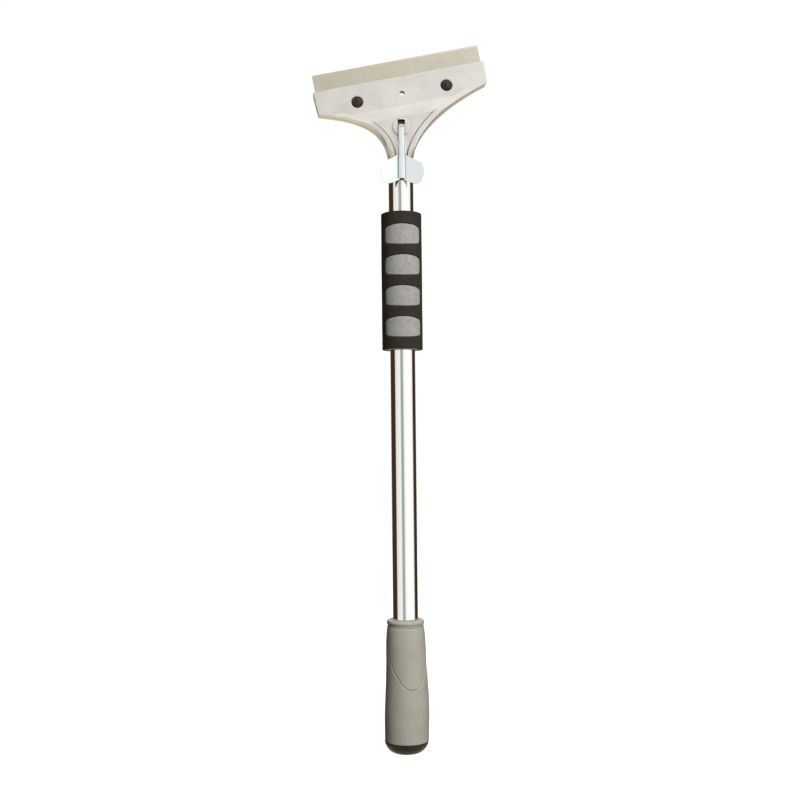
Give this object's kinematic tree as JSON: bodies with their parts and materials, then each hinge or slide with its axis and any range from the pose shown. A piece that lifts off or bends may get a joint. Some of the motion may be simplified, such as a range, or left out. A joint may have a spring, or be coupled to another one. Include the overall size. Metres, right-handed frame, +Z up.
{
  "type": "window scraper",
  "caption": "Long-handled window cleaning scraper: an angled cast head clamps a wide steel blade with a wing lever, on a chrome tube with a foam hand grip and a soft end grip.",
  "frame": {"origin": "centre of the small flat on the bottom of the end cap, on the handle's axis", "axes": "+Z up the handle to the blade, -Y the front with the wing lever, +X to the user's right seen from the front"},
  "size_m": [0.1545, 0.039, 0.6211],
  "materials": {
    "cast_metal": "satin cast, lightly tumbled",
    "blade_steel": "ground spring steel",
    "stud_black": "black, satin",
    "zinc_fixing": "bright zinc plate",
    "spring_steel": "drawn wire",
    "lever_zinc": "bright zinc plate, slightly blue",
    "tube_chrome": "polished chrome plate",
    "rivet_aluminium": "plain",
    "foam_core": "pale closed-cell foam",
    "foam_black": "black closed-cell foam, matt",
    "foam_grey": "grey foam, matt",
    "grip_grey": "soft-touch, satin",
    "grip_panel": "soft-touch, satin",
    "liner_plastic": "moulded",
    "cap_black": "moulded, satin"
  },
  "bodies": {
    "handle": {"head_body": "cast_metal", "handle_tube": "tube_chrome", "neck_rivet": "rivet_aluminium", "foam_core": "foam_core", "foam_skin": "foam_black", "pad_front_1": "foam_grey", "pad_front_2": "foam_grey", "pad_front_3": "foam_grey", "pad_front_4": "foam_grey", "pad_rear_1": "foam_grey", "pad_rear_2": "foam_grey", "pad_rear_3": "foam_grey", "pad_rear_4": "foam_grey", "end_grip": "grip_grey", "thumb_panel": "grip_panel", "grip_core": "liner_plastic", "end_cap": "cap_black"},
    "clamp": {"clamp_plate": "cast_metal", "locating_stud_left": "stud_black", "locating_stud_right": "stud_black", "draw_bolt": "zinc_fixing", "bolt_washer": "zinc_fixing", "bolt_nut": "zinc_fixing", "release_spring": "spring_steel", "lever_pivot_pin": "zinc_fixing"},
    "lever": {"clamp_lever": "lever_zinc"},
    "blade": {"scraper_blade": "blade_steel"}
  },
  "joints": [
    {"name": "clamp_slide", "type": "slide", "parent": "handle", "child": "clamp", "axis": [0, 1, 0], "range_m": [0, 0.0016]},
    {"name": "lever_swing", "type": "hinge", "parent": "clamp", "child": "lever", "pos_m": [0, -0.0122, 0.5438], "axis": [-1, 0, 0], "range_deg": [0, 100]},
    {"name": "blade_slide", "type": "slide", "parent": "handle", "child": "blade", "axis": [-0.1977, 0, 0.9803], "range_m": [0, 0.024]}
  ],
  "couplings": [
    {"joint": "lever_swing", "follows": "clamp_slide", "rad_per_m": 1090.7}
  ]
}
